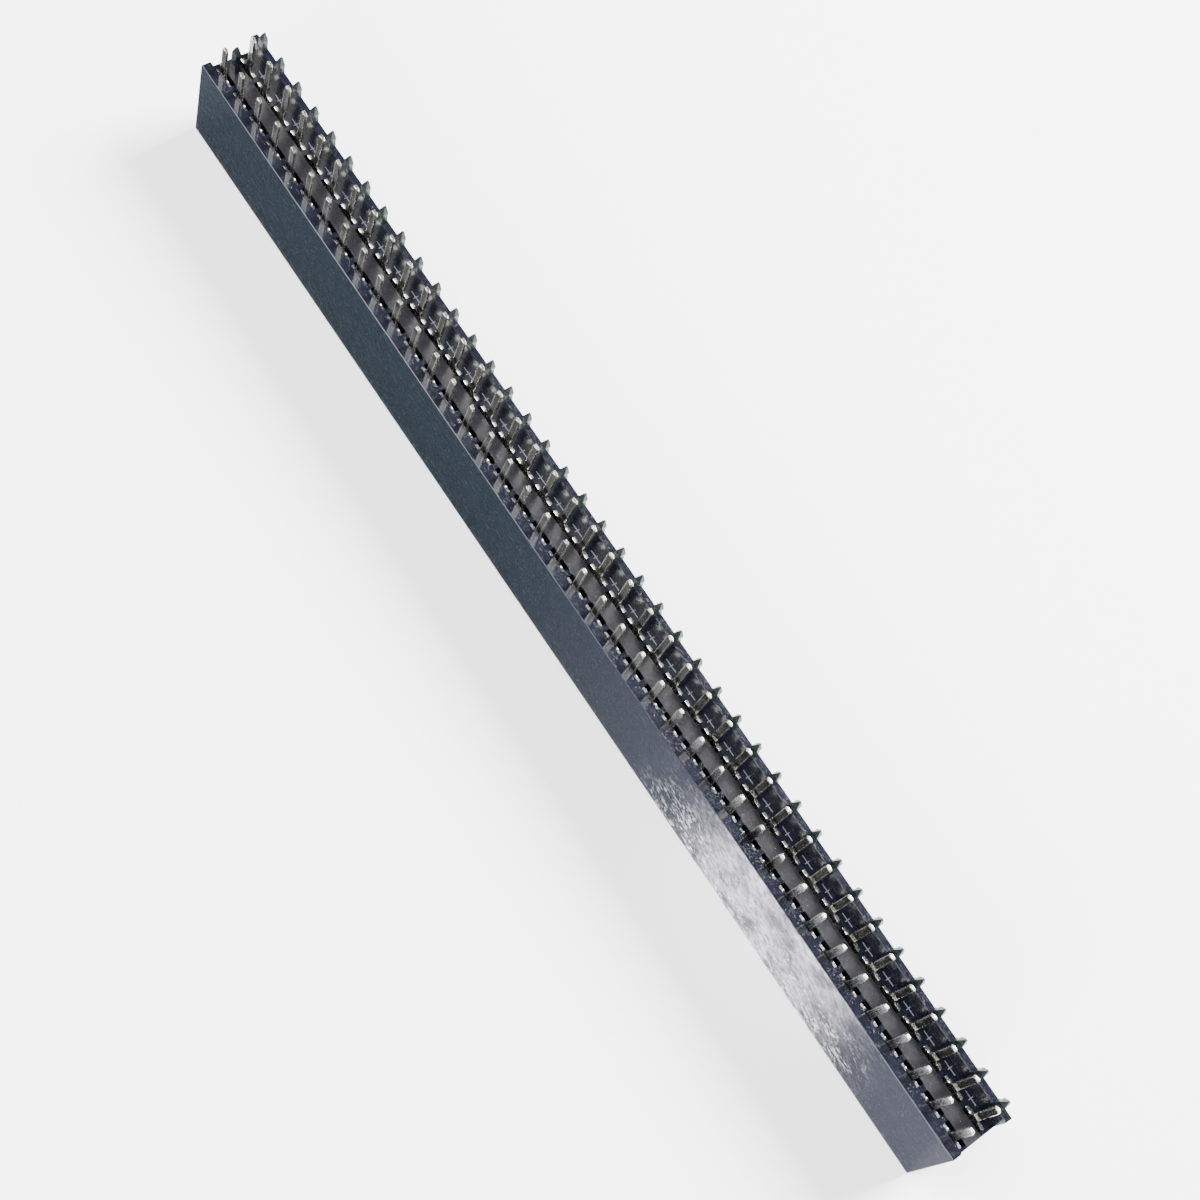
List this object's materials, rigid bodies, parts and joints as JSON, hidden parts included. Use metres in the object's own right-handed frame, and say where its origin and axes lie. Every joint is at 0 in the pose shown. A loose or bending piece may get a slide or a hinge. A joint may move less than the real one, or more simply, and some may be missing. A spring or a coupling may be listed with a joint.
{
  "type": "female pin header",
  "caption": "Two-row female pin header: black moulded socket strip on a 2.54 mm grid with flat solder tails along its upper side.",
  "frame": {"origin": "centre of the flat mating face, on the middle line between the two rows", "axes": "+X along the strip, +Y across the rows towards the raised lip, +Z from the mating face towards the solder tails"},
  "size_m": [0.1016, 0.0052, 0.0114],
  "materials": {
    "housing_plastic": "glossy black moulded thermoplastic, finely scratched",
    "tinned_contact": "bright tin plating on stamped copper alloy"
  },
  "bodies": {
    "root": {"housing": "housing_plastic", "contact_pair_01": "tinned_contact", "contact_pair_02": "tinned_contact", "contact_pair_03": "tinned_contact", "contact_pair_04": "tinned_contact", "contact_pair_05": "tinned_contact", "contact_pair_06": "tinned_contact", "contact_pair_07": "tinned_contact", "contact_pair_08": "tinned_contact", "contact_pair_09": "tinned_contact", "contact_pair_10": "tinned_contact", "contact_pair_11": "tinned_contact", "contact_pair_12": "tinned_contact", "contact_pair_13": "tinned_contact", "contact_pair_14": "tinned_contact", "contact_pair_15": "tinned_contact", "contact_pair_16": "tinned_contact", "contact_pair_17": "tinned_contact", "contact_pair_18": "tinned_contact", "contact_pair_19": "tinned_contact", "contact_pair_20": "tinned_contact", "contact_pair_21": "tinned_contact", "contact_pair_22": "tinned_contact", "contact_pair_23": "tinned_contact", "contact_pair_24": "tinned_contact", "contact_pair_25": "tinned_contact", "contact_pair_26": "tinned_contact", "contact_pair_27": "tinned_contact", "contact_pair_28": "tinned_contact", "contact_pair_29": "tinned_contact", "contact_pair_30": "tinned_contact", "contact_pair_31": "tinned_contact", "contact_pair_32": "tinned_contact", "contact_pair_33": "tinned_contact", "contact_pair_34": "tinned_contact", "contact_pair_35": "tinned_contact", "contact_pair_36": "tinned_contact", "contact_pair_37": "tinned_contact", "contact_pair_38": "tinned_contact", "contact_pair_39": "tinned_contact", "contact_pair_40": "tinned_contact"}
  },
  "joints": []
}
